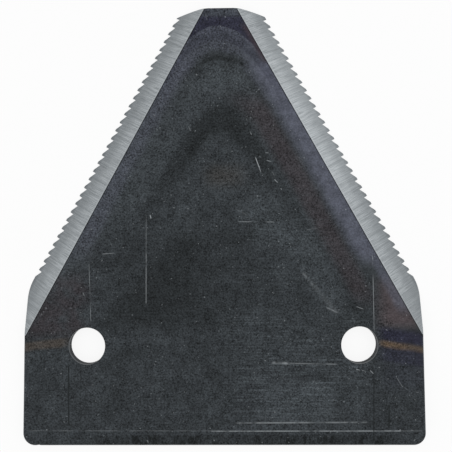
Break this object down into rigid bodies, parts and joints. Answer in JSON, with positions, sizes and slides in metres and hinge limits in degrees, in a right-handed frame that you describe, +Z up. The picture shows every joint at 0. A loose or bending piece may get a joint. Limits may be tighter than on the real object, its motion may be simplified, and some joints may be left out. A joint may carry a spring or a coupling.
{
  "type": "mower sickle section",
  "caption": "Flat steel knife section of a sickle bar mower, with two rivet holes and two bevelled, serrated cutting edges.",
  "frame": {"origin": "midway between the two rivet holes, on the underside", "axes": "+Y to the tip, +Z up to the ground face, X along the stroke of the knife"},
  "size_m": [0.076, 0.0843, 0.002],
  "materials": {
    "hardened_steel": "blackened and heat tinted flat face, bare ground bevels"
  },
  "bodies": {
    "root": {"sickle_section": "hardened_steel"}
  },
  "joints": []
}
